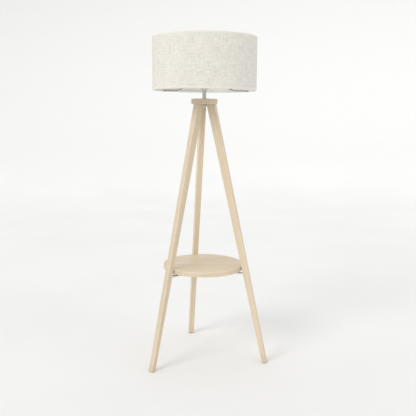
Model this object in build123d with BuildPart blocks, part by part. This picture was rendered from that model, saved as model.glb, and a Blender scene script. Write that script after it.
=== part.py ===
from build123d import *
from math import cos, hypot, radians, sin
import os

os.makedirs("parts", exist_ok=True)

# A tripod floor lamp: three tapered wooden legs under a round hub disc, a round shelf on
# three angle brackets, and a fabric drum shade clamped on an E27 lamp holder.
# Millimetres, +Z up. The origin is on the floor on the tripod's axis, and -Y is the front.

# ---------------------------------------------------------------- driving dimensions
# the gap kept between bodies that turn against each other
MOVING_GAP = 0.3

# legs: flat boards whose wide faces lie in the radial planes
LEG_AZIMUTHS = {"back": 102.2, "front_left": 222.2, "front_right": 342.2}
LEG_THICKNESS = 19.0
LEG_EDGE_RADIUS = 1.5
FOOT_CHAMFER = 1.2
FLOOR_OUTER_R = 231.0
FLOOR_INNER_R = 216.0
HUB_OUTER_R = 39.2
HUB_INNER_R = 10.3
PAD_HEIGHT = 2.0
PAD_RADIAL = 12.0
PAD_TANGENTIAL = 15.0
PAD_CORNER_R = 2.5

# hub disc and what fastens the legs to it
HUB_TOP_Z = 889.5
HUB_THICKNESS = 17.5
HUB_RADIUS = 43.5
HUB_EDGE_RADIUS = 3.0
BOLT_CIRCLE_R = 30.0
BOLT_LENGTH = 35.0
BOLT_RADIUS = 3.0
BOLT_HEAD_RADIUS = 6.0
BOLT_SOCKET_AF = 4.0
BOLT_SOCKET_DEPTH = 2.4
INSERT_LENGTH = 13.0
INSERT_RADIUS = 4.5
DOWEL_CIRCLE_R = 19.0
DOWEL_RADIUS = 3.0
DOWEL_LENGTH = 24.0
DOWEL_CHAMFER = 0.8

# shelf, its brackets, buffers and screws
SHELF_TOP_Z = 332.0
SHELF_THICKNESS = 16.0
SHELF_RADIUS = 136.0
SHELF_EDGE_RADIUS = 1.2
BRACKET_WIDTH = 17.0
BRACKET_SHEET = 3.0
BRACKET_BEND_R = 5.0
BRACKET_CORNER_R = 3.5
BRACKET_TOP_Z = 331.0
BRACKET_INNER_R = 100.0
UPRIGHT_WIDTH = 12.0
HOUSING_GAP = 0.1
SHOULDER_GAP = 0.3
CUT_MARGIN = 1.0
BUFFER_HEIGHT = 7.0
BUFFER_RADIUS = 7.0
BUFFER_EDGE_RADIUS = 0.8
SHELF_SCREW_R = 112.0
SHELF_SCREW_LENGTH = 20.0
LEG_SCREW_LENGTH = 15.0
LEG_SCREW_HEIGHTS = (316.0, 326.5)
SCREW_RADIUS = 1.75
SCREW_HEAD_RADIUS = 3.5
RECESS_LENGTH = 4.2
RECESS_WIDTH = 1.0
RECESS_DEPTH = 1.4

# stem: an M10 x 1 threaded tube in a smooth sleeve
TUBE_RADIUS = 5.0
TUBE_BORE_R = 3.75
STEM_RADIUS = 6.5
STEM_BORE_R = 5.2
STEM_TOP_Z = 917.0
WASHER_RADIUS = 9.0
WASHER_THICKNESS = 1.2
NUT_ACROSS_FLATS = 14.0
NUT_THICKNESS = 4.0
BUSHING_RADIUS = 6.8
BUSHING_LENGTH = 6.0
BUSHING_EDGE_RADIUS = 0.7
BUSHING_LIP = 1.5
CORD_BORE_R = 3.4

# E27 lamp holder: a domed cap, a body with a collar and an outer thread, and its insides
HOLDER_RADIUS = 20.0
HOLDER_WALL = 2.0
HOLDER_HEIGHT = 57.0
CAP_HEIGHT = 24.0
CAP_NECK_R = 7.5
CAP_NECK_WALL = 2.6
CAP_BOSS_HEIGHT = 10.0
CONE_OUTER_R = 14.5
CONE_OUTER_HEIGHT = 4.5
CONE_INNER_R = 13.7
CONE_INNER_HEIGHT = 6.4
DOME_HEIGHT = 14.6
COLLAR_RADIUS = 23.0
COLLAR_HEIGHT = 3.0
SPIGOT_RADIUS = 17.9
SPIGOT_LENGTH = 5.0
BODY_TOP_RADIUS = 18.8
BODY_BORE_R = 15.4
BODY_MOUTH_R = 14.2
BODY_LIP = 1.5
RING_THREAD_PITCH = 2.0
RING_THREAD_TURNS = 9
RING_THREAD_DEPTH = 0.7
BLOCK_RADIUS = 17.0
BLOCK_GAP = 0.1
BLOCK_HEIGHT = 16.0
BLOCK_RISE = 2.0
WIRE_SPACE_DEPTH = 8.0
TERMINAL_OFFSET = 10.0
TERMINAL_SCREW_R = 1.5
TERMINAL_HEAD_R = 2.6
TERMINAL_HEAD_HEIGHT = 2.0
TERMINAL_SLOT = 0.7
TERMINAL_LENGTH = 8.5
LEAF_WIDTH = 6.0
LEAF_SHEET = 0.6
LEAF_START_X = -9.0
LEAF_FOOT_X = -6.0
LEAF_KNEE_X = -2.0
LEAF_TIP_X = 4.0

# Edison thread: the sleeve keeps a running gap from the bulb's cap
E27_PITCH = 3.63
E27_DEPTH = 1.0
E27_TURNS = 4
E27_CREST_R = 13.0
E27_CLEARANCE = 0.4
SLEEVE_SHEET = 0.5
SLEEVE_FLANGE_R = 16.6
SLEEVE_TOP_DROP = 2.0
SLEEVE_RIM = 1.0

# shade
SHADE_RADIUS = 172.0
SHADE_BOTTOM_Z = 916.0
SHADE_HEIGHT = 172.0
FABRIC_THICKNESS = 0.9
HEM_WIDTH = 6.5
LINER_THICKNESS = 0.6
SKIN_GAP = 0.2
WIRE_RADIUS = 1.75
WIRE_HEIGHT_IN_SHADE = 3.2
SPIDER_AZIMUTHS = {"left": 147.0, "right": 27.0, "front": 267.0}
SPIDER_KINK_R = 112.0
SPIDER_BEND_R = 15.0
SPIDER_OVERRUN = 1.0
FITTER_RADIUS = 28.0
FITTER_BORE_R = 20.6
FITTER_SHEET = 1.5
FITTER_RIM_HEIGHT = 5.3
HEM_EDGE_RADIUS = 0.8

# shade retaining ring
RING_BORE_R = 20.3
RING_RADIUS = 27.0
RING_FLANGE = 2.5
RING_COLLAR_R = 24.5
RING_HEIGHT = 8.0
RING_GRIPS = 24
RING_GRIP_R = 1.1

# LED bulb: the heights of its cap, joint and equator are above its tip
BULB_TIP_GAP = 4.0
BULB_TIP_R = 4.8
BULB_TIP_HEIGHT = 1.6
BULB_TIP_EDGE_R = 1.2
BULB_THREAD_START = 5.2
BULB_CAP_TOP = 26.0
BULB_CAP_SHEET = 2.0
BULB_SKIRT = 2.0
BULB_PLUG_DEPTH = 2.0
BULB_NECK_R = 13.6
BULB_NECK_HEIGHT = 4.0
BULB_WAIST_R = 20.4
BULB_WAIST_DROP = 20.0
BULB_RIM_SLOPE = 0.18
BULB_JOINT = 70.0
BULB_JOINT_R = 29.4
BULB_EQUATOR = 77.0
BULB_RADIUS = 30.0
BULB_WALL = 1.4
LED_BOARD_R = 24.0
LED_BOARD_THICKNESS = 1.6
LED_BOARD_DROP = 7.0
LED_CHIPS = 8
LED_CIRCLE_R = 14.4
LED_CHIP_SIDE = 3.0
LED_CHIP_HEIGHT = 0.7

# ---------------------------------------------------------------- derived levels
HUB_BOTTOM_Z = HUB_TOP_Z - HUB_THICKNESS
SHELF_BOTTOM_Z = SHELF_TOP_Z - SHELF_THICKNESS
BRACKET_BOTTOM_Z = SHELF_BOTTOM_Z - BUFFER_HEIGHT - BRACKET_SHEET
NUT_TOP_Z = HUB_BOTTOM_Z - WASHER_THICKNESS
NUT_BOTTOM_Z = NUT_TOP_Z - NUT_THICKNESS
BUSHING_BOTTOM_Z = NUT_BOTTOM_Z - BUSHING_LENGTH
TUBE_BOTTOM_Z = BUSHING_BOTTOM_Z + BUSHING_LIP
TUBE_TOP_Z = STEM_TOP_Z + CAP_BOSS_HEIGHT
COLLAR_BOTTOM_Z = STEM_TOP_Z + CAP_HEIGHT
SEAT_Z = COLLAR_BOTTOM_Z + COLLAR_HEIGHT
HOLDER_TOP_Z = STEM_TOP_Z + HOLDER_HEIGHT
BLOCK_TOP_Z = SEAT_Z + BLOCK_RISE
BLOCK_BOTTOM_Z = BLOCK_TOP_Z - BLOCK_HEIGHT
SLEEVE_TOP_Z = HOLDER_TOP_Z - SLEEVE_TOP_DROP
BULB_TIP_Z = BLOCK_TOP_Z + BULB_TIP_GAP
BULB_THREAD_Z = BULB_TIP_Z + BULB_THREAD_START
BULB_CAP_TOP_Z = BULB_TIP_Z + BULB_CAP_TOP
BULB_JOINT_Z = BULB_TIP_Z + BULB_JOINT
FITTER_Z = SEAT_Z + MOVING_GAP
FITTER_TOP_Z = FITTER_Z + FITTER_SHEET
ARM_TOP_Z = FITTER_TOP_Z - FITTER_RIM_HEIGHT / 2
RING_Z = FITTER_TOP_Z + MOVING_GAP
SHADE_TOP_Z = SHADE_BOTTOM_Z + SHADE_HEIGHT
LINER_OUTER_R = SHADE_RADIUS - FABRIC_THICKNESS - SKIN_GAP
WIRE_CIRCLE_R = LINER_OUTER_R - LINER_THICKNESS - SKIN_GAP - WIRE_RADIUS
BOTTOM_WIRE_Z = SHADE_BOTTOM_Z + WIRE_HEIGHT_IN_SHADE
TOP_WIRE_Z = SHADE_TOP_Z - WIRE_HEIGHT_IN_SHADE


# ---------------------------------------------------------------- helpers
def radial_plane(azimuth):
    """The vertical plane through the axis: local x is the radius, local y is the height."""
    c = cos(radians(azimuth))
    s = sin(radians(azimuth))
    return Plane(origin=(0, 0, 0), x_dir=(c, s, 0), z_dir=(s, -c, 0))


def radial_vector(azimuth, r, z):
    """The point (or direction) with this radius and height at an azimuth."""
    return Vector(r * cos(radians(azimuth)), r * sin(radians(azimuth)), z)


def leg_outer_r(z):
    """Radius of a leg's outer edge at a height."""
    return FLOOR_OUTER_R + (HUB_OUTER_R - FLOOR_OUTER_R) * z / HUB_BOTTOM_Z


def leg_inner_r(z):
    """Radius of a leg's inner edge at a height."""
    return FLOOR_INNER_R + (HUB_INNER_R - FLOOR_INNER_R) * z / HUB_BOTTOM_Z


def zigzag(root_r, crest_r, start_z, pitch, turns):
    """Points of a thread's section: its root, then a crest and a root for each turn."""
    points = [(root_r, start_z)]
    for turn in range(turns):
        points.append((crest_r, start_z + pitch * (turn + 0.5)))
        points.append((root_r, start_z + pitch * (turn + 1)))
    return points


def turned(points):
    """A solid turned about Z from a closed outline of (radius, height) points."""
    with BuildPart() as solid:
        with BuildSketch(Plane.XZ):
            with BuildLine():
                Polyline(*points, close=True)
            make_face()
        revolve(axis=Axis.Z)
    return solid


def finish(piece, name):
    """Labels a sub-part and writes its file."""
    piece.part.label = name
    export_step(piece.part, f"parts/{name}.step")


# ---------------------------------------------------------------- fasteners
def countersunk_screw(length):
    """A wood screw whose head lies flush with z = 0 and whose shank points down."""
    cone = SCREW_HEAD_RADIUS - SCREW_RADIUS
    point = 2 * SCREW_RADIUS
    outline = [(0, 0), (SCREW_HEAD_RADIUS, 0), (SCREW_RADIUS, -cone)]
    outline += [(SCREW_RADIUS, point - length), (0, -length)]
    return turned(outline)


def cross_recess(screw):
    """The screw with a cross recess in its head, which its hole doesn't have."""
    with BuildPart() as recessed:
        add(screw.part)
        with BuildSketch():
            Rectangle(RECESS_WIDTH, RECESS_LENGTH)
            Rectangle(RECESS_LENGTH, RECESS_WIDTH)
        extrude(amount=-RECESS_DEPTH, mode=Mode.SUBTRACT)
    return recessed


def group(piece, planes):
    """Copies of one piece as separate solids, one on each plane."""
    with BuildPart() as copies:
        with Locations(*[plane.location for plane in planes]):
            add(piece.part)
    return copies


def level_planes(radius, z, flip=False):
    """One horizontal plane at each leg's azimuth, facing up, or down if flipped."""
    facing = (0, 0, -1) if flip else (0, 0, 1)
    centres = [radial_vector(azimuth, radius, z) for azimuth in LEG_AZIMUTHS.values()]
    x_dirs = [radial_vector(azimuth, 1, 0) for azimuth in LEG_AZIMUTHS.values()]
    return [Plane(origin=c, x_dir=x, z_dir=facing) for c, x in zip(centres, x_dirs)]


INNER_EDGE_SLOPE = (HUB_INNER_R - FLOOR_INNER_R) / HUB_BOTTOM_Z
INNER_EDGE_NORM = hypot(1, INNER_EDGE_SLOPE)
HOUSING_RADIAL = BRACKET_SHEET * INNER_EDGE_NORM


def leg_screw_plane(azimuth, z):
    """The plane of a leg screw's head, flush with the leg's inner edge."""
    centre = radial_vector(azimuth, leg_inner_r(z), z)
    facing = radial_vector(azimuth, -1, INNER_EDGE_SLOPE)
    sideways = radial_vector(azimuth + 90, 1, 0)
    return Plane(origin=centre, x_dir=sideways, z_dir=facing)


leg_screw_cut = countersunk_screw(LEG_SCREW_LENGTH)
shelf_screw_cut = countersunk_screw(SHELF_SCREW_LENGTH)
leg_screw_planes = [
    leg_screw_plane(azimuth, z) for azimuth in LEG_AZIMUTHS.values() for z in LEG_SCREW_HEIGHTS
]
shelf_screw_planes = level_planes(SHELF_SCREW_R, BRACKET_BOTTOM_Z, flip=True)
leg_screw_holes = group(leg_screw_cut, leg_screw_planes)
shelf_screw_holes = group(shelf_screw_cut, shelf_screw_planes)
bracket_leg_screws = group(cross_recess(leg_screw_cut), leg_screw_planes)
bracket_shelf_screws = group(cross_recess(shelf_screw_cut), shelf_screw_planes)
finish(bracket_leg_screws, "bracket_leg_screws")
finish(bracket_shelf_screws, "bracket_shelf_screws")

# M6 countersunk bolts with a hexagon socket, down through the disc into the legs
bolt_outline = [(0, 0), (BOLT_HEAD_RADIUS, 0), (BOLT_RADIUS, BOLT_RADIUS - BOLT_HEAD_RADIUS)]
bolt_outline += [(BOLT_RADIUS, -BOLT_LENGTH), (0, -BOLT_LENGTH)]
bolt_cut = turned(bolt_outline)

with BuildPart() as hub_bolt:
    add(bolt_cut.part)
    with BuildSketch():
        RegularPolygon(BOLT_SOCKET_AF / 2, 6, major_radius=False)
    extrude(amount=-BOLT_SOCKET_DEPTH, mode=Mode.SUBTRACT)

bolt_planes = level_planes(BOLT_CIRCLE_R, HUB_TOP_Z)
bolt_holes = group(bolt_cut, bolt_planes)
hub_bolts = group(hub_bolt, bolt_planes)
finish(hub_bolts, "hub_bolts")

# brass threaded inserts, flush with the legs' top faces
insert_planes = level_planes(BOLT_CIRCLE_R, HUB_BOTTOM_Z)
with BuildPart() as insert_blank:
    Cylinder(INSERT_RADIUS, INSERT_LENGTH, align=(Align.CENTER, Align.CENTER, Align.MAX))

with BuildPart() as insert_nut:
    add(insert_blank.part)
    Cylinder(BOLT_RADIUS, 3 * INSERT_LENGTH, mode=Mode.SUBTRACT)

insert_holes = group(insert_blank, insert_planes)
leg_inserts = group(insert_nut, insert_planes)
finish(leg_inserts, "leg_inserts")

# beech dowels that keep each leg from turning about its bolt
with BuildPart() as dowel:
    Cylinder(DOWEL_RADIUS, DOWEL_LENGTH)
    chamfer(dowel.edges().filter_by(GeomType.CIRCLE), length=DOWEL_CHAMFER)

with BuildPart() as dowel_cut:
    Cylinder(DOWEL_RADIUS, DOWEL_LENGTH)

dowel_planes = level_planes(DOWEL_CIRCLE_R, HUB_BOTTOM_Z)
dowel_holes = group(dowel_cut, dowel_planes)
leg_dowels = group(dowel, dowel_planes)
finish(leg_dowels, "leg_dowels")


# ---------------------------------------------------------------- legs and pads
def inner_edge_band(start, depth, low_z, high_z):
    """The outline of a band along a leg's inner edge, from start to depth outwards of it."""
    low_r = leg_inner_r(low_z)
    high_r = leg_inner_r(high_z)
    low_points = [(low_r + start, low_z), (low_r + depth, low_z)]
    high_points = [(high_r + depth, high_z), (high_r + start, high_z)]
    return low_points + high_points


def make_leg(azimuth):
    """A tapered board, drilled for its fasteners, with a housing for the bracket's leaf."""
    corners = [
        (leg_outer_r(PAD_HEIGHT), PAD_HEIGHT),
        (leg_inner_r(PAD_HEIGHT), PAD_HEIGHT),
        (leg_inner_r(HUB_BOTTOM_Z), HUB_BOTTOM_Z),
        (leg_outer_r(HUB_BOTTOM_Z), HUB_BOTTOM_Z),
    ]
    with BuildPart() as leg:
        with BuildSketch(radial_plane(azimuth)):
            with BuildLine():
                Polyline(*corners, close=True)
            make_face()
        extrude(amount=LEG_THICKNESS / 2, both=True)
        long_edges = leg.edges().filter_by(lambda edge: edge.length > HUB_BOTTOM_Z / 2)
        fillet(long_edges, radius=LEG_EDGE_RADIUS)
        foot_edges = leg.faces().sort_by(Axis.Z)[0].edges()
        chamfer(foot_edges, length=FOOT_CHAMFER)
        with BuildSketch(radial_plane(azimuth)):
            with BuildLine():
                housing_low_z = BRACKET_BOTTOM_Z - HOUSING_GAP
                housing_high_z = BRACKET_TOP_Z + HOUSING_GAP
                housing = inner_edge_band(-CUT_MARGIN, HOUSING_RADIAL, housing_low_z, housing_high_z)
                Polyline(*housing, close=True)
            make_face()
        half_housing = UPRIGHT_WIDTH / 2 + HOUSING_GAP
        extrude(amount=half_housing, both=True, mode=Mode.SUBTRACT)
        for holes in (bolt_holes, insert_holes, dowel_holes, leg_screw_holes):
            add(holes.part, mode=Mode.SUBTRACT)
    return leg


for leg_name, leg_azimuth in LEG_AZIMUTHS.items():
    finish(make_leg(leg_azimuth), f"leg_{leg_name}")

with BuildPart() as pad:
    with BuildSketch():
        RectangleRounded(PAD_RADIAL, PAD_TANGENTIAL, PAD_CORNER_R)
    extrude(amount=PAD_HEIGHT)

pad_centre_r = (leg_outer_r(PAD_HEIGHT) + leg_inner_r(PAD_HEIGHT)) / 2
foot_pads = group(pad, level_planes(pad_centre_r, 0))
finish(foot_pads, "foot_pads")

# ---------------------------------------------------------------- hub disc
with BuildPart() as hub_disc:
    with BuildSketch(Plane.XY.offset(HUB_BOTTOM_Z)):
        Circle(HUB_RADIUS)
        Circle(STEM_BORE_R, mode=Mode.SUBTRACT)
    extrude(amount=HUB_THICKNESS)
    rim_edges = hub_disc.edges().filter_by(lambda edge: edge.length > 4 * HUB_RADIUS)
    fillet(rim_edges, radius=HUB_EDGE_RADIUS)
    for hub_holes in (bolt_holes, dowel_holes):
        add(hub_holes.part, mode=Mode.SUBTRACT)

finish(hub_disc, "hub_disc")

# ---------------------------------------------------------------- shelf
with BuildPart() as shelf:
    with BuildSketch(Plane.XY.offset(SHELF_BOTTOM_Z)):
        Circle(SHELF_RADIUS)
    extrude(amount=SHELF_THICKNESS)
    fillet(shelf.edges(), radius=SHELF_EDGE_RADIUS)
    add(shelf_screw_holes.part, mode=Mode.SUBTRACT)

finish(shelf, "shelf")


def make_bracket(azimuth):
    """A bent steel angle: a narrow leaf let into the leg, and a level one under the shelf."""
    route = [
        (leg_inner_r(BRACKET_TOP_Z) + HOUSING_RADIAL, BRACKET_TOP_Z),
        (leg_inner_r(BRACKET_BOTTOM_Z) + HOUSING_RADIAL, BRACKET_BOTTOM_Z),
        (BRACKET_INNER_R, BRACKET_BOTTOM_Z),
    ]
    shoulders = inner_edge_band(
        -SHOULDER_GAP, 2 * HOUSING_RADIAL, BRACKET_BOTTOM_Z - CUT_MARGIN, BRACKET_TOP_Z + CUT_MARGIN
    )
    with BuildPart() as bracket:
        with BuildSketch(radial_plane(azimuth)):
            with BuildLine():
                FilletPolyline(*route, radius=BRACKET_BEND_R)
                offset(amount=BRACKET_SHEET, side=Side.RIGHT)
            make_face()
        extrude(amount=BRACKET_WIDTH / 2, both=True)
        end_edges = bracket.edges().filter_by(Axis.Z)
        fillet(end_edges, radius=BRACKET_CORNER_R)
        for side in (1, -1):
            with BuildSketch(radial_plane(azimuth).offset(side * UPRIGHT_WIDTH / 2)):
                with BuildLine():
                    Polyline(*shoulders, close=True)
                make_face()
            extrude(amount=side * BRACKET_WIDTH, mode=Mode.SUBTRACT)
        add(leg_screw_holes.part, mode=Mode.SUBTRACT)
        add(shelf_screw_holes.part, mode=Mode.SUBTRACT)
    return bracket


for bracket_name, bracket_azimuth in LEG_AZIMUTHS.items():
    finish(make_bracket(bracket_azimuth), f"shelf_bracket_{bracket_name}")

# rubber buffers between the brackets and the shelf, round the shelf screws
with BuildPart() as buffer_ring:
    with BuildSketch():
        Circle(BUFFER_RADIUS)
        Circle(SCREW_RADIUS, mode=Mode.SUBTRACT)
    extrude(amount=BUFFER_HEIGHT)
    buffer_rims = buffer_ring.edges().filter_by(lambda edge: edge.length > 6 * BUFFER_RADIUS)
    fillet(buffer_rims, radius=BUFFER_EDGE_RADIUS)

shelf_buffers = group(buffer_ring, level_planes(SHELF_SCREW_R, SHELF_BOTTOM_Z - BUFFER_HEIGHT))
finish(shelf_buffers, "shelf_buffers")


# ---------------------------------------------------------------- stem and what holds it
def make_tube(outer_r, bore_r, bottom_z, top_z):
    """A plain tube about the axis."""
    with BuildPart() as tube:
        with BuildSketch(Plane.XY.offset(bottom_z)):
            Circle(outer_r)
            Circle(bore_r, mode=Mode.SUBTRACT)
        extrude(amount=top_z - bottom_z)
    return tube


finish(make_tube(TUBE_RADIUS, TUBE_BORE_R, TUBE_BOTTOM_Z, TUBE_TOP_Z), "threaded_tube")
finish(make_tube(STEM_RADIUS, STEM_BORE_R, HUB_TOP_Z, STEM_TOP_Z), "stem_sleeve")
finish(make_tube(WASHER_RADIUS, STEM_BORE_R, NUT_TOP_Z, HUB_BOTTOM_Z), "hub_washer")

with BuildPart() as hub_lock_nut:
    with BuildSketch(Plane.XY.offset(NUT_BOTTOM_Z)):
        RegularPolygon(NUT_ACROSS_FLATS / 2, 6, major_radius=False)
        Circle(TUBE_RADIUS, mode=Mode.SUBTRACT)
    extrude(amount=NUT_THICKNESS)

finish(hub_lock_nut, "hub_lock_nut")

# the cord's inlet: a bushing over the tube's lower end, with a rounded mouth
with BuildPart() as cord_bushing:
    with BuildSketch(Plane.XY.offset(BUSHING_BOTTOM_Z)):
        Circle(BUSHING_RADIUS)
    extrude(amount=BUSHING_LENGTH)
    with BuildSketch(Plane.XY.offset(TUBE_BOTTOM_Z)):
        Circle(TUBE_RADIUS)
    extrude(amount=BUSHING_LENGTH, mode=Mode.SUBTRACT)
    with BuildSketch(Plane.XY.offset(BUSHING_BOTTOM_Z)):
        Circle(CORD_BORE_R)
    extrude(amount=BUSHING_LENGTH, mode=Mode.SUBTRACT)
    mouth = cord_bushing.faces().sort_by(Axis.Z)[0]
    fillet(mouth.edges(), radius=BUSHING_EDGE_RADIUS)

finish(cord_bushing, "cord_bushing")

# ---------------------------------------------------------------- lamp holder
def cap_wall(neck, cone_end, radius):
    """One side of the dome's wall: a cone, a tangent arc and a straight rim."""
    cone = Line(neck, cone_end)
    vault = TangentArc(cone @ 1, (radius, STEM_TOP_Z + DOME_HEIGHT), tangent=cone % 1)
    return cone, Line(vault @ 1, (radius, COLLAR_BOTTOM_Z))


# the cap: a dome on the tube's upper end, with a threaded boss inside
with BuildPart() as holder_cap:
    with BuildSketch(Plane.XZ):
        with BuildLine():
            cone_end = (CONE_OUTER_R, STEM_TOP_Z + CONE_OUTER_HEIGHT)
            cone, rim = cap_wall((CAP_NECK_R, STEM_TOP_Z), cone_end, HOLDER_RADIUS)
            corners = [(TUBE_RADIUS, COLLAR_BOTTOM_Z), (TUBE_RADIUS, STEM_TOP_Z)]
            Polyline(rim @ 1, *corners, cone @ 0)
        make_face()
    revolve(axis=Axis.Z)
    with BuildSketch(Plane.XZ):
        with BuildLine():
            cone_end = (CONE_INNER_R, STEM_TOP_Z + CONE_INNER_HEIGHT)
            neck = (CAP_NECK_R, STEM_TOP_Z + CAP_NECK_WALL)
            cone, rim = cap_wall(neck, cone_end, HOLDER_RADIUS - HOLDER_WALL)
            corners = [(TUBE_RADIUS, COLLAR_BOTTOM_Z), (TUBE_RADIUS, TUBE_TOP_Z)]
            Polyline(rim @ 1, *corners, (CAP_NECK_R, TUBE_TOP_Z), cone @ 0)
        make_face()
    revolve(axis=Axis.Z, mode=Mode.SUBTRACT)

finish(holder_cap, "holder_cap")

# the body: a spigot in the cap, the collar that the shade sits on, and the outer thread
spigot_z = COLLAR_BOTTOM_Z - SPIGOT_LENGTH
shoulder_z = BLOCK_TOP_Z + 2 * SLEEVE_SHEET
thread_top_z = SEAT_Z + RING_THREAD_PITCH * RING_THREAD_TURNS
lip_z = HOLDER_TOP_Z - BODY_LIP
thread_root_r = HOLDER_RADIUS - RING_THREAD_DEPTH
body_inner_r = BLOCK_RADIUS + BLOCK_GAP
body_outline = [(body_inner_r, spigot_z), (SPIGOT_RADIUS, spigot_z)]
body_outline += [(SPIGOT_RADIUS, COLLAR_BOTTOM_Z), (COLLAR_RADIUS, COLLAR_BOTTOM_Z)]
body_outline += [(COLLAR_RADIUS, SEAT_Z)]
body_outline += zigzag(thread_root_r, HOLDER_RADIUS, SEAT_Z, RING_THREAD_PITCH, RING_THREAD_TURNS)
body_outline += [(BODY_TOP_RADIUS, thread_top_z), (BODY_TOP_RADIUS, HOLDER_TOP_Z)]
body_outline += [(BODY_MOUTH_R, HOLDER_TOP_Z), (BODY_MOUTH_R, lip_z)]
body_outline += [(BODY_BORE_R, lip_z), (BODY_BORE_R, shoulder_z), (body_inner_r, shoulder_z)]
finish(turned(body_outline), "holder_body")

# the contact block inside, open below for the wires, with two terminal screws
terminal_points = [(TERMINAL_OFFSET, 0), (-TERMINAL_OFFSET, 0)]
with BuildPart() as contact_block:
    with BuildSketch(Plane.XY.offset(BLOCK_BOTTOM_Z)):
        Circle(BLOCK_RADIUS)
    extrude(amount=BLOCK_HEIGHT)
    with BuildSketch(Plane.XY.offset(BLOCK_BOTTOM_Z)):
        Circle(TUBE_RADIUS)
    extrude(amount=WIRE_SPACE_DEPTH, mode=Mode.SUBTRACT)
    with BuildSketch(Plane.XY.offset(BLOCK_BOTTOM_Z)):
        with Locations(*terminal_points):
            Circle(TERMINAL_SCREW_R)
    extrude(amount=TERMINAL_LENGTH, mode=Mode.SUBTRACT)

finish(contact_block, "contact_block")

with BuildPart() as terminal_screws:
    with BuildSketch(Plane.XY.offset(BLOCK_BOTTOM_Z)):
        with Locations(*terminal_points):
            Circle(TERMINAL_SCREW_R)
    extrude(amount=TERMINAL_LENGTH)
    with BuildSketch(Plane.XY.offset(BLOCK_BOTTOM_Z - TERMINAL_HEAD_HEIGHT)):
        with Locations(*terminal_points):
            Circle(TERMINAL_HEAD_R)
    extrude(amount=TERMINAL_HEAD_HEIGHT)
    with BuildSketch(Plane.XY.offset(BLOCK_BOTTOM_Z - TERMINAL_HEAD_HEIGHT)):
        with Locations(*terminal_points):
            Rectangle(TERMINAL_SLOT, 2 * TERMINAL_HEAD_R)
    extrude(amount=TERMINAL_HEAD_HEIGHT / 2, mode=Mode.SUBTRACT)

finish(terminal_screws, "terminal_screws")

# the spring leaf under the bulb's tip: its foot on the block, its raised end under the tip
leaf_top_z = BULB_TIP_Z - MOVING_GAP - LEAF_SHEET
with BuildPart() as centre_contact:
    with BuildSketch(Plane.XZ):
        with BuildLine():
            leaf_foot = [(LEAF_START_X, BLOCK_TOP_Z), (LEAF_FOOT_X, BLOCK_TOP_Z)]
            Polyline(*leaf_foot, (LEAF_KNEE_X, leaf_top_z), (LEAF_TIP_X, leaf_top_z))
            offset(amount=LEAF_SHEET, side=Side.LEFT)
        make_face()
    extrude(amount=LEAF_WIDTH / 2, both=True)

finish(centre_contact, "centre_contact")

# the Edison sleeve: a flange on the block and a thread that follows the bulb's
sleeve_crest_r = E27_CREST_R + E27_CLEARANCE
sleeve_root_r = sleeve_crest_r - E27_DEPTH
flange_top_z = BLOCK_TOP_Z + SLEEVE_SHEET
sleeve_inside = [(sleeve_root_r, BLOCK_TOP_Z)]
sleeve_inside += zigzag(sleeve_root_r, sleeve_crest_r, BULB_THREAD_Z, E27_PITCH, E27_TURNS)
sleeve_inside += [(sleeve_crest_r, SLEEVE_TOP_Z - SLEEVE_RIM), (sleeve_crest_r, SLEEVE_TOP_Z)]
sleeve_outside = [(r + SLEEVE_SHEET, z) for r, z in reversed(sleeve_inside[1:])]
sleeve_flange = [(sleeve_root_r + SLEEVE_SHEET, flange_top_z), (SLEEVE_FLANGE_R, flange_top_z)]
sleeve_flange += [(SLEEVE_FLANGE_R, BLOCK_TOP_Z)]
finish(turned(sleeve_inside + sleeve_outside + sleeve_flange), "screw_shell")

# ---------------------------------------------------------------- shade retaining ring
ring_step_z = RING_Z + RING_FLANGE
ring_top_z = RING_Z + RING_HEIGHT
ring_outline = [(RING_BORE_R, RING_Z), (RING_RADIUS, RING_Z), (RING_RADIUS, ring_step_z)]
ring_outline += [(RING_COLLAR_R, ring_step_z), (RING_COLLAR_R, ring_top_z)]
ring_outline += [(RING_BORE_R, ring_top_z)]
with BuildPart() as retaining_ring:
    add(turned(ring_outline).part)
    with BuildSketch(Plane.XY.offset(ring_step_z)):
        with PolarLocations(RING_COLLAR_R + RING_GRIP_R / 2, RING_GRIPS):
            Circle(RING_GRIP_R)
    extrude(amount=RING_HEIGHT, mode=Mode.SUBTRACT)

finish(retaining_ring, "retaining_ring")

# ---------------------------------------------------------------- LED bulb
cap_inner_r = E27_CREST_R - BULB_CAP_SHEET
cap_root_r = E27_CREST_R - E27_DEPTH
skirt_z = BULB_THREAD_Z + E27_PITCH * E27_TURNS + BULB_SKIRT
bulb_cap_outline = [(cap_inner_r, BULB_THREAD_Z)]
bulb_cap_outline += zigzag(cap_root_r, E27_CREST_R, BULB_THREAD_Z, E27_PITCH, E27_TURNS)
bulb_cap_outline += [(E27_CREST_R, skirt_z), (E27_CREST_R, BULB_CAP_TOP_Z)]
bulb_cap_outline += [(cap_inner_r, BULB_CAP_TOP_Z)]
finish(turned(bulb_cap_outline), "bulb_screw_cap")

with BuildPart() as bulb_tip:
    with BuildSketch(Plane.XY.offset(BULB_TIP_Z)):
        Circle(BULB_TIP_R)
    extrude(amount=BULB_TIP_HEIGHT)
    fillet(bulb_tip.faces().sort_by(Axis.Z)[0].edges(), radius=BULB_TIP_EDGE_R)

finish(bulb_tip, "bulb_tip")

insulator_z = BULB_TIP_Z + BULB_TIP_HEIGHT
plug_z = BULB_THREAD_Z + BULB_PLUG_DEPTH
insulator_outline = [(0, insulator_z), (BULB_TIP_R, insulator_z), (cap_inner_r, BULB_THREAD_Z)]
insulator_outline += [(cap_inner_r, plug_z), (0, plug_z)]
finish(turned(insulator_outline), "bulb_insulator")

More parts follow.
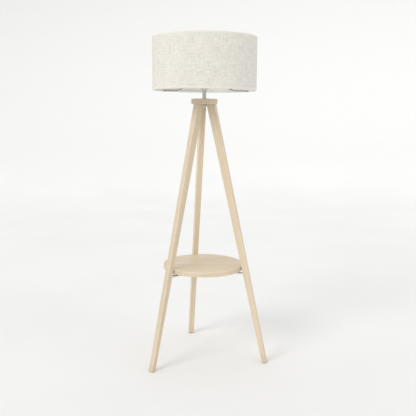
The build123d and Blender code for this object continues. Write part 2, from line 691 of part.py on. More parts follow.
with BuildPart() as bulb_housing:
    with BuildSketch(Plane.XZ):
        with BuildLine():
            rim_point = (BULB_JOINT_R, BULB_JOINT_Z)
            neck_top = (BULB_NECK_R, BULB_CAP_TOP_Z + BULB_NECK_HEIGHT)
            waist = (BULB_WAIST_R, BULB_JOINT_Z - BULB_WAIST_DROP)
            neck = Line((BULB_NECK_R, BULB_CAP_TOP_Z), neck_top)
            Spline(neck_top, waist, rim_point, tangents=[(0, 1), (BULB_RIM_SLOPE, 1)])
            Polyline(rim_point, (0, BULB_JOINT_Z), (0, BULB_CAP_TOP_Z), neck @ 0)
        make_face()
    revolve(axis=Axis.Z)
    flat_ends = bulb_housing.faces().filter_by(GeomType.PLANE)
    offset(amount=-BULB_WALL, openings=flat_ends)

finish(bulb_housing, "bulb_housing")

with BuildPart() as bulb_diffuser:
    with BuildSketch(Plane.XZ):
        with BuildLine():
            equator = (0, BULB_TIP_Z + BULB_EQUATOR)
            inner_rim = (BULB_JOINT_R - BULB_WALL, BULB_JOINT_Z)
            dome = CenterArc(equator, BULB_RADIUS, 0, 90)
            inner_dome = CenterArc(equator, BULB_RADIUS - BULB_WALL, 0, 90)
            Polyline(dome @ 0, (BULB_JOINT_R, BULB_JOINT_Z), inner_rim, inner_dome @ 0)
            Line(dome @ 1, inner_dome @ 1)
        make_face()
    revolve(axis=Axis.Z)

finish(bulb_diffuser, "bulb_diffuser")

led_board_z = BULB_JOINT_Z - LED_BOARD_DROP
with BuildPart() as bulb_led_board:
    with BuildSketch(Plane.XY.offset(led_board_z)):
        Circle(LED_BOARD_R)
    extrude(amount=LED_BOARD_THICKNESS)
    with BuildSketch(Plane.XY.offset(led_board_z + LED_BOARD_THICKNESS)):
        with PolarLocations(LED_CIRCLE_R, LED_CHIPS):
            Rectangle(LED_CHIP_SIDE, LED_CHIP_SIDE)
    extrude(amount=LED_CHIP_HEIGHT)

finish(bulb_led_board, "bulb_led_board")

# ---------------------------------------------------------------- shade
hem_inner_r = SHADE_RADIUS - HEM_WIDTH
fabric_inner_r = SHADE_RADIUS - FABRIC_THICKNESS
with BuildPart() as shade_fabric:
    with BuildSketch(Plane.XY.offset(SHADE_BOTTOM_Z)):
        Circle(SHADE_RADIUS)
        Circle(hem_inner_r, mode=Mode.SUBTRACT)
    extrude(amount=SHADE_HEIGHT)
    with BuildSketch(Plane.XY.offset(SHADE_BOTTOM_Z + FABRIC_THICKNESS)):
        Circle(fabric_inner_r)
    extrude(amount=SHADE_HEIGHT - 2 * FABRIC_THICKNESS, mode=Mode.SUBTRACT)
    outer_rims = shade_fabric.edges().filter_by(GeomType.CIRCLE).sort_by(SortBy.RADIUS)[-2:]
    fillet(outer_rims, radius=HEM_EDGE_RADIUS)

finish(shade_fabric, "shade_fabric")
finish(
    make_tube(
        LINER_OUTER_R,
        LINER_OUTER_R - LINER_THICKNESS,
        SHADE_BOTTOM_Z + FABRIC_THICKNESS + SKIN_GAP,
        SHADE_TOP_Z - FABRIC_THICKNESS - SKIN_GAP,
    ),
    "shade_liner",
)

for wire_name, wire_z in {"bottom": BOTTOM_WIRE_Z, "top": TOP_WIRE_Z}.items():
    with BuildPart() as wire_ring:
        with Locations((0, 0, wire_z)):
            Torus(WIRE_CIRCLE_R, WIRE_RADIUS)
    finish(wire_ring, f"shade_{wire_name}_ring")

# the stamped fitter: a flat washer with a turned-down rim
rim_inner_r = FITTER_RADIUS - FITTER_SHEET
fitter_rim_z = FITTER_TOP_Z - FITTER_RIM_HEIGHT
fitter_outline = [(FITTER_BORE_R, FITTER_Z), (FITTER_BORE_R, FITTER_TOP_Z)]
fitter_outline += [(FITTER_RADIUS, FITTER_TOP_Z), (FITTER_RADIUS, fitter_rim_z)]
fitter_outline += [(rim_inner_r, fitter_rim_z), (rim_inner_r, FITTER_Z)]
finish(turned(fitter_outline), "fitter_ring")


# wire arms: level from the bottom ring, then up to the fitter's rim, welded at both ends
def make_arm(azimuth):
    """One spider arm, its ends cut to the ring and to the fitter that they are welded to."""
    with BuildPart() as arm:
        with BuildLine(radial_plane(azimuth)) as route:
            FilletPolyline(
                (WIRE_CIRCLE_R, BOTTOM_WIRE_Z),
                (SPIDER_KINK_R, BOTTOM_WIRE_Z),
                (FITTER_RADIUS - SPIDER_OVERRUN, ARM_TOP_Z),
                radius=SPIDER_BEND_R,
            )
        with BuildSketch(Plane(origin=route.line @ 0, z_dir=route.line % 0)):
            Circle(WIRE_RADIUS)
        sweep()
        with Locations((0, 0, BOTTOM_WIRE_Z)):
            Torus(WIRE_CIRCLE_R, WIRE_RADIUS, mode=Mode.SUBTRACT)
        with Locations((0, 0, ARM_TOP_Z)):
            Cylinder(FITTER_RADIUS, 4 * FITTER_RIM_HEIGHT, mode=Mode.SUBTRACT)
    return arm


for arm_name, arm_azimuth in SPIDER_AZIMUTHS.items():
    finish(make_arm(arm_azimuth), f"spider_arm_{arm_name}")
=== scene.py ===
from functools import lru_cache
from math import atan2, ceil, cos, pi, radians, sin, tau
from random import Random

import bmesh
import bpy
from mathutils import Matrix, Vector
from mathutils.noise import noise as noise_at


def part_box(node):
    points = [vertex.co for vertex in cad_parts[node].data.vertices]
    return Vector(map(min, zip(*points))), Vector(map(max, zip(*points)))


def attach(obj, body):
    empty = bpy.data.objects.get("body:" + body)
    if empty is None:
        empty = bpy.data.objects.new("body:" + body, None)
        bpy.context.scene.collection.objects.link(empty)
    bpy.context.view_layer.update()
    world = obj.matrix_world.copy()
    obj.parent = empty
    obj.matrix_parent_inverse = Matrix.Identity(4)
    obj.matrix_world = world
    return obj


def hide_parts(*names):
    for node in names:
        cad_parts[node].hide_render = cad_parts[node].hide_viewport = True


# The looks of a tripod floor lamp: oiled ash, a lapped linen shade, grey wire and white plastic.
# Metres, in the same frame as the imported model: +Z up, the tripod's axis on the origin.

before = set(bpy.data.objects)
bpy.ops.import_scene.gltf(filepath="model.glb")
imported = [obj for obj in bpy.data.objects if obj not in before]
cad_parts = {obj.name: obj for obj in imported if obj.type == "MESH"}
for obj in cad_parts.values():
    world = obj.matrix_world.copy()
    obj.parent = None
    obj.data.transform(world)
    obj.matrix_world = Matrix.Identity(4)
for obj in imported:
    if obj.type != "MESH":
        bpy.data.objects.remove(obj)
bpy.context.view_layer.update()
MM = 0.001
UP = Vector((0, 0, 1))
LEGS = ("leg_back", "leg_front_left", "leg_front_right")
ARMS = ("spider_arm_left", "spider_arm_right", "spider_arm_front")


# ---------------------------------------------------------------- places read from the frame
@lru_cache(maxsize=None)
def box(node):
    """A node's lowest and highest corners at rest, worked out once."""
    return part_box(node)


def azimuth_of(node):
    """The direction of a node's middle from the lamp's axis, in radians."""
    low, high = box(node)
    middle = (low + high) / 2
    return atan2(middle.y, middle.x)


# how far from a leg's two ends its points count as its foot and its head
FOOT_BAND = 3 * MM
HEAD_BAND = 1 * MM


class Board:
    """A leg's place: its foot and head, its axes, and half its width at each end."""

    def __init__(self, node):
        points = [vertex.co.copy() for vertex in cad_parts[node].data.vertices]
        low, high = box(node)
        feet = [point for point in points if point.z < low.z + FOOT_BAND]
        heads = [point for point in points if point.z > high.z - HEAD_BAND]
        self.foot = sum(feet, Vector()) / len(feet)
        self.head = sum(heads, Vector()) / len(heads)
        self.along = (self.head - self.foot).normalized()
        self.through = UP.cross(self.foot).normalized()
        self.across = self.through.cross(self.along)
        self.length = (self.head - self.foot).length
        self.foot_half = max(abs((point - self.foot).dot(self.across)) for point in feet)
        self.head_half = max(abs((point - self.head).dot(self.across)) for point in heads)
        self.half_thick = max(abs((point - self.foot).dot(self.through)) for point in points)


# ---------------------------------------------------------------- procedural materials
def srgb(red, green, blue):
    """A linear colour from the usual 0 to 255 values."""
    linear = [((c / 255 + 0.055) / 1.055) ** 2.4 for c in (red, green, blue)]
    return (*linear, 1.0)


class Paint:
    """A material under construction: a Principled shader and the nodes that feed it."""

    def __init__(self, name, **values):
        self.material = bpy.data.materials.new(name)
        self.material.use_nodes = True
        self.tree = self.material.node_tree
        self.shader = self.tree.nodes["Principled BSDF"]
        for key, value in values.items():
            self.shader.inputs[key.replace("_", " ")].default_value = value

    def feed(self, socket, value):
        """Links or sets an input."""
        if isinstance(value, bpy.types.NodeSocket):
            self.tree.links.new(value, socket)
        else:
            socket.default_value = value

    def node(self, kind, settings, inputs):
        """A node of this kind, its settings, and its inputs by name or number."""
        made = self.tree.nodes.new("ShaderNode" + kind)
        for key, value in settings.items():
            setattr(made, key, value)
        for key, value in inputs.items():
            self.feed(made.inputs[key], value)
        return made

    def math(self, operation, *values):
        """A calculation with numbers."""
        return self.node("Math", {"operation": operation}, dict(enumerate(values))).outputs[0]

    def vector_math(self, operation, *values):
        """A calculation with vectors, which gives a vector or a number."""
        made = self.node("VectorMath", {"operation": operation}, dict(enumerate(values)))
        return made.outputs["Value" if operation in ("DOT_PRODUCT", "LENGTH") else "Vector"]

    def coordinates(self):
        """The row frame's coordinates, which move with the piece."""
        return self.node("TexCoord", {}, {}).outputs["Object"]

    def local(self, origin, axes):
        """Coordinates from an origin along three axes, as three sockets."""
        shifted = self.vector_math("SUBTRACT", self.coordinates(), origin)
        return [self.vector_math("DOT_PRODUCT", shifted, axis) for axis in axes]

    def cylinder(self, radius, cut_azimuth):
        """Arc length and height about the lamp's axis. The arc is zero opposite the cut."""
        ahead = (-cos(cut_azimuth), -sin(cut_azimuth), 0)
        sideways = (sin(cut_azimuth), -cos(cut_azimuth), 0)
        x, y, height = self.local((0, 0, 0), (ahead, sideways, UP))
        return self.math("MULTIPLY", self.math("ARCTAN2", y, x), radius), height

    def split(self, vector):
        """A vector's three coordinates."""
        return self.node("SeparateXYZ", {}, {0: vector}).outputs

    def join(self, x, y, z):
        """A vector from three numbers."""
        return self.node("CombineXYZ", {}, {0: x, 1: y, 2: z}).outputs[0]

    def noise(self, vector, scales, detail=2.0, roughness=0.5):
        """Noise from 0 to 1, with its own number of cells to the metre along each axis."""
        stretched = self.vector_math("MULTIPLY", vector, scales)
        settings = {"Vector": stretched, "Scale": 1.0, "Detail": detail, "Roughness": roughness}
        return self.node("TexNoise", {}, settings).outputs[0]

    def cells(self, vector, scales):
        """Distance to the nearest of scattered points."""
        stretched = self.vector_math("MULTIPLY", vector, scales)
        made = self.node("TexVoronoi", {"feature": "F1"}, {"Vector": stretched, "Scale": 1.0})
        return made.outputs["Distance"]

    def ramp(self, value, low, high, to_low=0.0, to_high=1.0, smooth=True):
        """The value's stretch from low to high, moved to another stretch and held at its ends."""
        settings = {"interpolation_type": "SMOOTHSTEP" if smooth else "LINEAR"}
        inputs = {0: value, 1: low, 2: high, 3: to_low, 4: to_high}
        return self.node("MapRange", settings, inputs).outputs[0]

    def mix(self, factor, first, second, blend="MIX"):
        """Two colours mixed by a factor."""
        settings = {"data_type": "RGBA", "blend_type": blend}
        return self.node("Mix", settings, {0: factor, 6: first, 7: second}).outputs[2]

    def dimmed(self, colour, factor):
        """A colour times a number."""
        return self.mix(1.0, colour, self.join(factor, factor, factor), "MULTIPLY")

    def finish(self, colour, roughness, height=None, relief=0.0):
        """Feeds the shader, with relief as the depth of the bump, and returns the material."""
        self.feed(self.shader.inputs["Base Color"], colour)
        self.feed(self.shader.inputs["Roughness"], roughness)
        if height is not None:
            inputs = {"Height": height, "Distance": relief, "Strength": 1.0}
            bump = self.node("Bump", {}, inputs).outputs[0]
            self.feed(self.shader.inputs["Normal"], bump)
        return self.material


PALE_WOOD = srgb(226, 210, 184)
DEEP_WOOD = srgb(200, 177, 145)
PORE_WOOD = srgb(164, 138, 106)
WORN_WOOD = srgb(236, 224, 203)
BEECH = srgb(222, 190, 150)
BEECH_FLECK = srgb(188, 142, 98)

# growth rings about a pith outside the board, and how far they stray
RING_WIDTH = 3.4 * MM
PITH_ACROSS = 55 * MM
PITH_THROUGH = 70 * MM
RING_WANDER = 14 * MM
RING_RIPPLE = 1.1 * MM
RING_SLANT = 0.012
WOOD_RELIEF = 0.09 * MM

# how far wear reaches from an edge, and how far the wood darkens up from the foot
WEAR_FULL = 0.6 * MM
WEAR_END = 2.6 * MM
FOOT_DARK_FULL = 4 * MM
FOOT_DARK_END = 45 * MM

# the round panels: the grain's direction, the staves' width, the middle stave's number, how far
# apart along and through the wood the staves were cut, and the glue between them
HUB_GRAIN = radians(-8)
HUB_STAVE = 120 * MM
SHELF_GRAIN = radians(4)
SHELF_STAVE = 47 * MM
MIDDLE_STAVE = 40
STAVE_RUN = 3.0
STAVE_RISE = 40 * MM
GLUE_FULL = 0.08 * MM
GLUE_END = 0.3 * MM


def grain(paint, along, across, through, seed):
    """Ash figure inside a board: (colour, height, roughness) from its growth rings and pores."""
    shifted = paint.math("ADD", along, seed)
    place = paint.join(shifted, across, through)
    wander = paint.noise(place, (1.6, 9.0, 9.0), detail=1.0)
    ripple = paint.noise(place, (7.0, 60.0, 60.0), detail=2.0)
    across_pith = paint.math("ADD", across, PITH_ACROSS)
    through_pith = paint.math("ADD", through, PITH_THROUGH)
    reach = paint.vector_math("LENGTH", paint.join(across_pith, through_pith, 0.0))
    bent = paint.math("ADD", reach, paint.math("MULTIPLY", wander, RING_WANDER))
    bent = paint.math("ADD", bent, paint.math("MULTIPLY", ripple, RING_RIPPLE))
    bent = paint.math("ADD", bent, paint.math("MULTIPLY", shifted, RING_SLANT))
    ring = paint.math("FRACT", paint.math("DIVIDE", bent, RING_WIDTH))
    ring_end = paint.ramp(ring, 0.9, 1.0, 1.0, 0.0)
    late = paint.math("MULTIPLY", paint.ramp(ring, 0.15, 0.86), ring_end)
    fibre = paint.noise(place, (14.0, 900.0, 900.0), detail=3.0, roughness=0.6)
    streak = paint.noise(place, (3.0, 160.0, 160.0), detail=2.0)
    pore_noise = paint.noise(place, (130.0, 2600.0, 2600.0), detail=1.0)
    early = paint.ramp(late, 0.75, 0.2)
    pores = paint.math("MULTIPLY", paint.ramp(pore_noise, 0.6, 0.72), early)
    tone = paint.noise(place, (2.2, 14.0, 14.0), detail=2.0)
    colour = paint.mix(paint.math("MULTIPLY", late, 0.62), PALE_WOOD, DEEP_WOOD)
    colour = paint.mix(paint.ramp(streak, 0.35, 0.75, 0.0, 0.4), colour, DEEP_WOOD)
    colour = paint.mix(paint.ramp(fibre, 0.3, 0.8, 0.0, 0.35), colour, WORN_WOOD)
    colour = paint.mix(paint.math("MULTIPLY", pores, 0.55), colour, PORE_WOOD)
    colour = paint.dimmed(colour, paint.ramp(tone, 0.25, 0.75, 0.93, 1.05, smooth=False))
    height = paint.math("SUBTRACT", paint.math("MULTIPLY", fibre, 0.5), pores)
    height = paint.math("ADD", height, paint.math("MULTIPLY", late, 0.25))
    rough = paint.ramp(fibre, 0.2, 0.8, 0.42, 0.58, smooth=False)
    rough = paint.math("ADD", rough, paint.math("MULTIPLY", pores, 0.15))
    return colour, height, rough


def worn(paint, colour, rough, first_depth, second_depth):
    """Lightens and polishes an edge, where the depths behind its two faces are both small."""
    depth = paint.math("ADD", first_depth, second_depth)
    patch = paint.noise(paint.coordinates(), (35.0, 35.0, 35.0), detail=3.0)
    near = paint.ramp(depth, WEAR_FULL, WEAR_END, 1.0, 0.0)
    amount = paint.math("MULTIPLY", near, paint.ramp(patch, 0.35, 0.7, 0.25, 0.9))
    polished = paint.math("SUBTRACT", rough, paint.math("MULTIPLY", amount, 0.12))
    return paint.mix(amount, colour, WORN_WOOD), polished


def wood_paint(name):
    """Oiled wood: a thin soft coat."""
    return Paint(name, Coat_Weight=0.12, Coat_Roughness=0.35, Specular_IOR_Level=0.4)


def leg_wood(node, seed):
    """One leg's wood: the grain runs along the board, and its long edges are worn."""
    board = Board(node)
    paint = wood_paint(f"ash_{node}")
    axes = (board.along, board.across, board.through)
    along, across, through = paint.local(board.foot, axes)
    colour, height, rough = grain(paint, along, across, through, seed)
    share = paint.math("DIVIDE", along, board.length)
    half = paint.ramp(share, 0.0, 1.0, board.foot_half, board.head_half, smooth=False)
    side_depth = paint.math("SUBTRACT", half, paint.math("ABSOLUTE", across))
    face_depth = paint.math("SUBTRACT", board.half_thick, paint.math("ABSOLUTE", through))
    colour, rough = worn(paint, colour, rough, side_depth, face_depth)
    # the wood darkens towards the foot, over its lowest few centimetres
    foot_darkening = paint.ramp(along, FOOT_DARK_FULL, FOOT_DARK_END, 0.16, 0.0)
    colour = paint.mix(foot_darkening, colour, PORE_WOOD)
    return paint.finish(colour, rough, height, WOOD_RELIEF)


def disc_wood(name, node, direction, stave, seed):
    """A round panel glued from staves, each with its own figure, with a worn rim."""
    low, high = box(node)
    middle = (low + high) / 2
    radius = (high.x - low.x) / 2
    paint = wood_paint(name)
    lengthwise = Vector((cos(direction), sin(direction), 0))
    sideways = Vector((-sin(direction), cos(direction), 0))
    along, across, up = paint.local(middle, (lengthwise, sideways, UP))
    from_first = paint.math("ADD", across, (MIDDLE_STAVE + seed) * stave)
    place = paint.math("DIVIDE", from_first, stave)
    number = paint.math("FLOOR", place)
    inside = paint.math("FRACT", place)
    draw = paint.node("TexWhiteNoise", {"noise_dimensions": "1D"}, {"W": number}).outputs["Value"]
    stave_along = paint.math("ADD", along, paint.math("MULTIPLY", draw, STAVE_RUN))
    stave_across = paint.math("MULTIPLY", inside, stave)
    stave_up = paint.math("ADD", up, paint.math("MULTIPLY", draw, STAVE_RISE))
    colour, height, rough = grain(paint, stave_along, stave_across, stave_up, seed)
    colour = paint.dimmed(colour, paint.ramp(draw, 0.0, 1.0, 0.92, 1.05, smooth=False))
    nearer_side = paint.math("MINIMUM", inside, paint.math("SUBTRACT", 1.0, inside))
    from_joint = paint.math("MULTIPLY", nearer_side, stave)
    joint = paint.ramp(from_joint, GLUE_FULL, GLUE_END, 1.0, 0.0)
    colour = paint.mix(paint.math("MULTIPLY", joint, 0.5), colour, PORE_WOOD)
    height = paint.math("SUBTRACT", height, paint.math("MULTIPLY", joint, 0.6))
    from_axis = paint.vector_math("LENGTH", paint.join(along, across, 0.0))
    rim_depth = paint.math("SUBTRACT", radius, from_axis)
    face_depth = paint.math("SUBTRACT", (high.z - low.z) / 2, paint.math("ABSOLUTE", up))
    colour, rough = worn(paint, colour, rough, rim_depth, face_depth)
    return paint.finish(colour, rough, height, WOOD_RELIEF)


def dowel_wood():
    """Beech with its short flecks, upright."""
    paint = Paint("beech_dowel", Specular_IOR_Level=0.35)
    fleck = paint.noise(paint.coordinates(), (900.0, 900.0, 160.0), detail=2.0)
    colour = paint.mix(paint.ramp(fleck, 0.45, 0.7), BEECH, BEECH_FLECK)
    return paint.finish(colour, paint.ramp(fleck, 0.2, 0.8, 0.5, 0.7), fleck, 0.05 * MM)


# linen: about 16 threads to the centimetre, with slubs where a thread runs thick. Its turned
# edge is glued down as far as HEM from the rim, where the crease gets a thin line of painted shade.
THREAD = 0.62 * MM
WARP_DRIFT = 1.2 * MM
WEFT_DRIFT = 1 * MM
HEM = 8 * MM
HEM_BLUR = 1.5 * MM
CREASE = 0.9 * MM
LINEN_RELIEF = 0.22 * MM
LINEN_PALE = srgb(247, 244, 237)
# the darker colour used as painted shade in the weave's gaps and along the hem's crease
LINEN_PAINTED_SHADE = srgb(206, 199, 185)
LINEN_SLUB = srgb(214, 207, 193)
LINEN_SPOT = srgb(216, 210, 198)
SEAM_AZIMUTH = radians(90)

# the white film behind it: its lap starts with a step before the seam and fades out after it
LINER_LAP = 12 * MM
LINER_STEP = 0.5 * MM
LINER_SLOPE = 40 * MM
LINER_RELIEF = 0.1 * MM
LINER_WHITE = srgb(238, 237, 232)
LINER_MOTTLE = srgb(231, 229, 223)


def linen():
    """Natural off-white linen: a plain weave with painted shade between its threads, thick slubs
    both ways and uneven yarn.
    """
    paint = Paint("linen", Sheen_Weight=0.35, Sheen_Roughness=0.45, Specular_IOR_Level=0.15)
    low, high = box("shade_fabric")
    arc, height = paint.cylinder(high.x, SEAM_AZIMUTH)
    place = paint.join(arc, height, 0.0)
    drift = paint.noise(place, (60.0, 60.0, 1.0), detail=2.0)
    warp_place = paint.math("ADD", arc, paint.math("MULTIPLY", drift, WARP_DRIFT))
    weft_place = paint.math("ADD", height, paint.math("MULTIPLY", drift, WEFT_DRIFT))
    turn = tau / (2 * THREAD)
    warp = paint.math("SINE", paint.math("MULTIPLY", warp_place, turn))
    weft = paint.math("SINE", paint.math("MULTIPLY", weft_place, turn))
    over = paint.ramp(paint.math("MULTIPLY", warp, weft), -0.25, 0.25)
    under = paint.math("SUBTRACT", 1.0, over)
    warp_yarn = paint.math("MULTIPLY", paint.math("ABSOLUTE", warp), over)
    weft_yarn = paint.math("MULTIPLY", paint.math("ABSOLUTE", weft), under)
    yarn = paint.math("ADD", warp_yarn, weft_yarn)
    warp_slub = paint.noise(place, (520.0, 16.0, 1.0), detail=2.0)
    weft_slub = paint.noise(place, (13.0, 560.0, 1.0), detail=2.0)
    warp_thick = paint.ramp(warp_slub, 0.56, 0.74)
    weft_thick = paint.ramp(weft_slub, 0.55, 0.73)
    slub = paint.math("MAXIMUM", warp_thick, weft_thick)
    warp_tone = paint.noise(place, (330.0, 42.0, 1.0), detail=3.0, roughness=0.6)
    weft_tone = paint.noise(place, (38.0, 360.0, 1.0), detail=3.0, roughness=0.6)
    mottle = paint.math("MULTIPLY", paint.math("ADD", warp_tone, weft_tone), 0.5)
    cloud = paint.noise(place, (14.0, 12.0, 1.0), detail=2.0)
    from_low = paint.math("SUBTRACT", height, low.z)
    from_high = paint.math("SUBTRACT", high.z, height)
    from_edge = paint.math("MINIMUM", from_low, from_high)
    hem = paint.ramp(from_edge, HEM - HEM_BLUR, HEM + HEM_BLUR, 0.25, 1.0)
    from_hem = paint.math("ABSOLUTE", paint.math("SUBTRACT", from_edge, HEM))
    crease = paint.ramp(from_hem, 0.0, CREASE, 1.0, 0.0)
    # the gaps between the threads get painted shade: a darker colour where the yarn sinks
    colour = paint.mix(paint.ramp(yarn, 0.1, 0.9, 0.3, 0.0), LINEN_PALE, LINEN_PAINTED_SHADE)
    slubs = paint.math("MULTIPLY", paint.math("MULTIPLY", slub, hem), 0.6)
    colour = paint.mix(slubs, colour, LINEN_SLUB)
    spots = paint.math("MULTIPLY", paint.ramp(mottle, 0.4, 0.62, 0.0, 0.62), hem)
    colour = paint.mix(spots, colour, LINEN_SPOT)
    # a thin line of painted shade along the hem's crease
    colour = paint.mix(paint.math("MULTIPLY", crease, 0.22), colour, LINEN_PAINTED_SHADE)
    colour = paint.dimmed(colour, paint.ramp(cloud, 0.25, 0.75, 0.985, 1.01, smooth=False))
    raised = paint.math("ADD", yarn, paint.math("MULTIPLY", slub, 0.9))
    raised = paint.math("SUBTRACT", raised, crease)
    rough = paint.ramp(yarn, 0.0, 1.0, 0.95, 0.82, smooth=False)
    return paint.finish(colour, rough, raised, LINEN_RELIEF)


def lining():
    """The white film behind the linen: smooth, with faint glue mottle and a lap at the seam."""
    paint = Paint("white_film", Specular_IOR_Level=0.45)
    place = paint.coordinates()
    mottle = paint.noise(place, (34.0, 34.0, 28.0), detail=4.0, roughness=0.6)
    speck = paint.noise(place, (900.0, 900.0, 900.0), detail=1.0)
    radius = box("shade_liner")[1].x
    arc, _ = paint.cylinder(radius, SEAM_AZIMUTH)
    half_turn = pi * radius
    lap_start = half_turn - LINER_LAP
    lap_edge = paint.ramp(arc, lap_start, lap_start + LINER_STEP)
    lap_slope = paint.ramp(arc, -half_turn, LINER_SLOPE - half_turn, 1.0, 0.0)
    lap = paint.math("ADD", lap_edge, lap_slope)
    colour = paint.mix(paint.ramp(mottle, 0.3, 0.7), LINER_WHITE, LINER_MOTTLE)
    height = paint.math("ADD", mottle, paint.math("MULTIPLY", speck, 0.1))
    height = paint.math("ADD", height, paint.math("MULTIPLY", lap, 4.0))
    rough = paint.ramp(mottle, 0.2, 0.8, 0.38, 0.55)
    return paint.finish(colour, rough, height, LINER_RELIEF)


def coated(name, colour, dark, peel=0.05 * MM, rough=(0.34, 0.48)):
    """Powder coat or moulded plastic: orange peel, faint dust and a slightly uneven gloss."""
    paint = Paint(name, Specular_IOR_Level=0.5)
    place = paint.coordinates()
    skin_noise = paint.noise(place, (1100.0, 1100.0, 1100.0), detail=2.0)
    dust = paint.noise(place, (55.0, 55.0, 40.0), detail=4.0, roughness=0.6)
    dusty = paint.mix(paint.ramp(dust, 0.42, 0.75, 0.0, 0.5), colour, dark)
    return paint.finish(dusty, paint.ramp(dust, 0.25, 0.8, *rough), skin_noise, peel)


def metal(name, colour, dark, streaks, rough=(0.22, 0.38), relief=0.012 * MM, tarnish=0.7):
    """Worked metal: fine marks, as many to the metre along each axis as streaks says."""
    paint = Paint(name, Metallic=1.0)
    place = paint.coordinates()
    marks = paint.noise(place, streaks, detail=3.0, roughness=0.6)
    cloud = paint.noise(place, (90.0, 90.0, 90.0), detail=3.0)
    tarnished = paint.mix(paint.ramp(cloud, 0.35, 0.75, 0.0, tarnish), colour, dark)
    return paint.finish(tarnished, paint.ramp(marks, 0.25, 0.75, *rough), marks, relief)


def felt():
    """Pressed wool felt: matted fibres in two sizes, with a soft sheen."""
    dark, pale, matt = srgb(128, 120, 110), srgb(172, 164, 152), srgb(104, 97, 88)
    paint = Paint("felt", Sheen_Weight=0.5, Sheen_Roughness=0.6, Specular_IOR_Level=0.1)
    place = paint.coordinates()
    hair = paint.noise(place, (2600.0, 2600.0, 3200.0), detail=3.0, roughness=0.7)
    matted = paint.noise(place, (420.0, 420.0, 600.0), detail=4.0, roughness=0.65)
    colour = paint.mix(paint.ramp(hair, 0.3, 0.7), dark, pale)
    colour = paint.mix(paint.ramp(matted, 0.4, 0.7, 0.0, 0.5), colour, matt)
    return paint.finish(colour, 0.95, paint.math("ADD", hair, matted), 0.25 * MM)


def rubber():
    """Moulded black rubber with a dusty bloom."""
    black, dusty = srgb(34, 34, 35), srgb(66, 65, 63)
    paint = Paint("rubber", Specular_IOR_Level=0.35)
    bloom = paint.noise(paint.coordinates(), (260.0, 260.0, 260.0), detail=4.0, roughness=0.65)
    colour = paint.mix(paint.ramp(bloom, 0.4, 0.75), black, dusty)
    return paint.finish(colour, paint.ramp(bloom, 0.3, 0.7, 0.6, 0.8), bloom, 0.06 * MM)


def ceramic():
    """Glazed steatite, cream with fine specks."""
    cream, clouded, speckled = srgb(236, 230, 214), srgb(222, 213, 192), srgb(150, 132, 104)
    paint = Paint("steatite", Coat_Weight=0.5, Coat_Roughness=0.12, Specular_IOR_Level=0.5)
    place = paint.coordinates()
    speck = paint.cells(place, (1400.0, 1400.0, 1400.0))
    cloud = paint.noise(place, (160.0, 160.0, 160.0), detail=3.0)
    colour = paint.mix(paint.ramp(cloud, 0.3, 0.7), cream, clouded)
    colour = paint.mix(paint.ramp(speck, 0.1, 0.2, 0.6, 0.0), colour, speckled)
    return paint.finish(colour, paint.ramp(cloud, 0.2, 0.8, 0.22, 0.36), cloud, 0.05 * MM)


def opal():
    """The bulb's milky diffuser, frosted, with faint flow marks."""
    white, milky = srgb(247, 246, 242), srgb(241, 239, 234)
    paint = Paint(
        "opal",
        Subsurface_Weight=0.35,
        Subsurface_Scale=3 * MM,
        Subsurface_Radius=(1.0, 0.95, 0.9),
        Specular_IOR_Level=0.45,
    )
    place = paint.coordinates()
    frost = paint.noise(place, (1500.0, 1500.0, 1500.0), detail=2.0)
    flow = paint.noise(place, (45.0, 45.0, 120.0), detail=3.0)
    colour = paint.mix(paint.ramp(flow, 0.3, 0.7), white, milky)
    return paint.finish(colour, paint.ramp(frost, 0.3, 0.7, 0.3, 0.42), frost, 0.02 * MM)


# the phosphor starts this far below the chips' tops, over a short blur
CHIP_DROP = 0.6 * MM
CHIP_BLUR = 0.2 * MM


def led_board():
    """White solder mask with yellow phosphor on the chips that stand above it."""
    white, grey = srgb(240, 241, 238), srgb(226, 228, 224)
    yellow, amber = srgb(236, 205, 84), srgb(212, 176, 58)
    paint = Paint("led_board", Specular_IOR_Level=0.5)
    place = paint.coordinates()
    level = paint.split(place)[2]
    grainy = paint.noise(place, (1800.0, 1800.0, 1800.0), detail=2.0)
    patch = paint.ramp(grainy, 0.3, 0.7)
    mask = paint.mix(patch, white, grey)
    phosphor = paint.mix(patch, yellow, amber)
    chip_level = box("bulb_led_board")[1].z - CHIP_DROP
    colour = paint.mix(paint.ramp(level, chip_level, chip_level + CHIP_BLUR), mask, phosphor)
    return paint.finish(colour, paint.ramp(grainy, 0.2, 0.8, 0.35, 0.5), grainy, 0.02 * MM)


# ---------------------------------------------------------------- mesh pieces
def solid(name, points, faces, sharp=35):
    """An object from points and faces, facing outwards and smooth but for its sharp edges."""
    mesh = bpy.data.meshes.new(name)
    mesh.from_pydata([tuple(point) for point in points], [], faces)
    shape = bmesh.new()
    shape.from_mesh(mesh)
    bmesh.ops.recalc_face_normals(shape, faces=shape.faces)
    shape.to_mesh(mesh)
    shape.free()
    mesh.shade_smooth()
    mesh.set_sharp_from_angle(angle=radians(sharp))
    made = bpy.data.objects.new(name, mesh)
    bpy.context.scene.collection.objects.link(made)
    return made


def band(start, step, count):
    """The faces between two rings of points, the second one a step after the first."""
    corners = [(start + i, start + (i + 1) % count) for i in range(count)]
    return [(a, a + step, b + step, b) for a, b in corners]


def skin(name, rings, closed=True):
    """A mesh through rings of points. An open end is capped with faces across its ring."""
    count = len(rings[0])
    last = (len(rings) - 1) * count
    points = [point for ring in rings for point in ring]
    faces = []
    for start in range(0, last, count):
        faces += band(start, count, count)
    if closed:
        faces += band(last, -last, count)
    else:
        for start in (0, last):
            for i in range(count // 2 - 1):
                far = start + count - 1 - i
                faces.append((start + i, start + i + 1, far - 1, far))
    return solid(name, points, faces)


def round_point(radius, azimuth, z):
    """A point at a distance and a direction from the lamp's axis."""
    return Vector((radius * cos(azimuth), radius * sin(azimuth), z))


